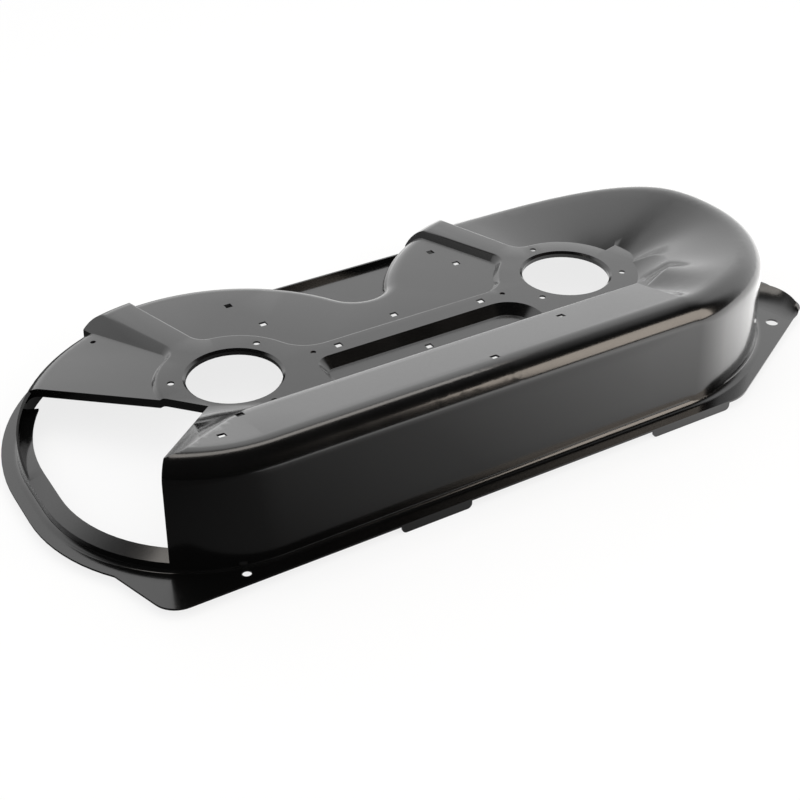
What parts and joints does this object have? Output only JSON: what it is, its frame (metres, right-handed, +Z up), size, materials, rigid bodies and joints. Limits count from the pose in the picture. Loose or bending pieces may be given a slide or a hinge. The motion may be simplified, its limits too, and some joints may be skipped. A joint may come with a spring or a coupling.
{
  "type": "lawn mower deck",
  "caption": "Pressed-steel mower deck shell with round blade chambers, a raised spindle plate, a front tunnel, a side discharge opening and a mounting flange.",
  "frame": {"origin": "centre of the bounding box's underside, level with the lower edges of the front hangers", "axes": "+X from the discharge end towards the closed end, along the line through both spindles; +Y towards the rear; +Z up, out of the top of the deck"},
  "size_m": [1.049, 0.5349, 0.1445],
  "materials": {
    "black_paint": "gloss black stoved paint on pressed steel"
  },
  "bodies": {
    "root": {"deck_shell": "black_paint"}
  },
  "joints": []
}
